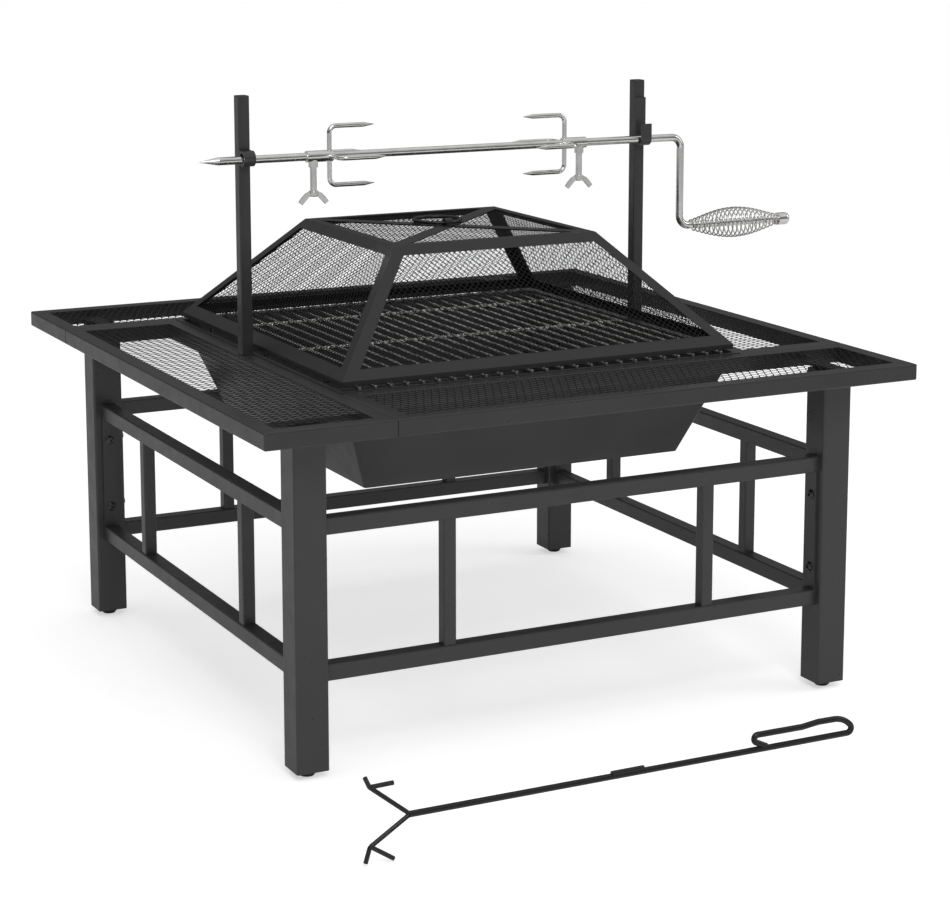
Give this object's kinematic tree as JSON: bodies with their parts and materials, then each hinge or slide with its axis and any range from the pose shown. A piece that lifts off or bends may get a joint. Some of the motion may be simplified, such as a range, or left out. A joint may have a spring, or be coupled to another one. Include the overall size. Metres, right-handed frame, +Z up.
{
  "type": "fire pit with grate",
  "caption": "Square fire pit table with mesh panels, a fire bowl, cooking grate, spark-screen lid, crank-turned rotisserie spit with forks, and a poker.",
  "frame": {"origin": "on the floor under the centre of the square table", "axes": "+Z up, +Y to the back, +X to the right as seen from the front, towards the crank"},
  "size_m": [0.9455, 1.0585, 0.744],
  "materials": {
    "frame_paint": "satin charcoal powder coat",
    "lid_paint": "satin black paint",
    "mesh_paint": "satin black paint",
    "bowl_paint": "matte high-temperature paint",
    "poker_paint": "satin black paint",
    "bright_wire": "bright plated steel",
    "spit_steel": "polished plated steel",
    "fixing_steel": "blackened steel",
    "glide_plastic": "moulded black plastic"
  },
  "bodies": {
    "table": {"panel_frame_left": "frame_paint", "panel_frame_back": "frame_paint", "panel_frame_right": "frame_paint", "panel_frame_front": "frame_paint", "panel_mesh_left": "mesh_paint", "panel_mesh_back": "mesh_paint", "panel_mesh_right": "mesh_paint", "panel_mesh_front": "mesh_paint", "leg_front_left": "frame_paint", "leg_front_right": "frame_paint", "leg_back_left": "frame_paint", "leg_back_right": "frame_paint", "foot_front_left": "glide_plastic", "foot_front_right": "glide_plastic", "foot_back_left": "glide_plastic", "foot_back_right": "glide_plastic", "upper_rail_front": "frame_paint", "lower_rail_front": "frame_paint", "balusters_front": "frame_paint", "end_plates_front": "frame_paint", "upper_rail_back": "frame_paint", "lower_rail_back": "frame_paint", "balusters_back": "frame_paint", "end_plates_back": "frame_paint", "upper_rail_left": "frame_paint", "lower_rail_left": "frame_paint", "balusters_left": "frame_paint", "end_plates_left": "frame_paint", "upper_rail_right": "frame_paint", "lower_rail_right": "frame_paint", "balusters_right": "frame_paint", "end_plates_right": "frame_paint", "leg_straps": "frame_paint", "frame_bolts": "fixing_steel", "fire_bowl": "bowl_paint", "spit_post_left": "frame_paint", "spit_post_right": "frame_paint", "post_inserts": "fixing_steel", "post_screws": "fixing_steel", "spit_eye": "frame_paint", "spit_hook": "frame_paint"},
    "log_grate": {"log_bars": "bowl_paint", "log_supports": "bowl_paint"},
    "cooking_grate": {"grate_wires": "bright_wire", "grate_cross_rods": "bright_wire"},
    "lid": {"lid_base_frame": "lid_paint", "lid_hips": "lid_paint", "lid_top_frame": "lid_paint", "lid_mesh": "mesh_paint", "lid_cross_strap": "lid_paint", "ring_clip": "lid_paint"},
    "lid_ring": {"lid_ring": "lid_paint"},
    "spit": {"spit_rod": "spit_steel", "crank_cap": "spit_steel"},
    "crank_grip": {"crank_grip": "spit_steel"},
    "fork_left": {"meat_fork_left": "spit_steel"},
    "fork_right": {"meat_fork_right": "spit_steel"},
    "wing_screw_left": {"wing_screw_left": "spit_steel"},
    "wing_screw_right": {"wing_screw_right": "spit_steel"},
    "poker": {"poker": "poker_paint"}
  },
  "joints": [
    {"name": "log_grate_lift", "type": "slide", "parent": "table", "child": "log_grate", "axis": [0, 0, 1], "range_m": [0, 0.07]},
    {"name": "cooking_grate_lift", "type": "slide", "parent": "table", "child": "cooking_grate", "axis": [0, -0.9842, 0.1772], "range_m": [0, 0.72]},
    {"name": "lid_lift", "type": "slide", "parent": "cooking_grate", "child": "lid", "axis": [0, -0.9842, 0.1772], "range_m": [0, 0.72]},
    {"name": "lid_ring_swing", "type": "hinge", "parent": "lid", "child": "lid_ring", "pos_m": [0, 0, 0.5692], "axis": [1, 0, 0], "range_deg": [0, 180]},
    {"name": "spit_spin", "type": "hinge", "parent": "table", "child": "spit", "pos_m": [0, -0.01725, 0.666], "axis": [1, 0, 0], "continuous": true},
    {"name": "crank_grip_spin", "type": "hinge", "parent": "spit", "child": "crank_grip", "pos_m": [0.42, -0.01725, 0.546], "axis": [1, 0, 0], "continuous": true},
    {"name": "fork_left_slide", "type": "slide", "parent": "spit", "child": "fork_left", "axis": [1, 0, 0], "range_m": [-0.05, 0.05]},
    {"name": "fork_right_slide", "type": "slide", "parent": "spit", "child": "fork_right", "axis": [-1, 0, 0], "range_m": [-0.05, 0.05]},
    {"name": "wing_screw_left_turn", "type": "hinge", "parent": "fork_left", "child": "wing_screw_left", "pos_m": [-0.1945, -0.01725, 0.62], "axis": [0, 0, 1], "continuous": true},
    {"name": "wing_screw_right_turn", "type": "hinge", "parent": "fork_right", "child": "wing_screw_right", "pos_m": [0.184, -0.01725, 0.62], "axis": [0, 0, 1], "continuous": true},
    {"name": "poker_lift", "type": "slide", "parent": "table", "child": "poker", "axis": [0, 0, 1], "range_m": [0, 0.3]}
  ]
}
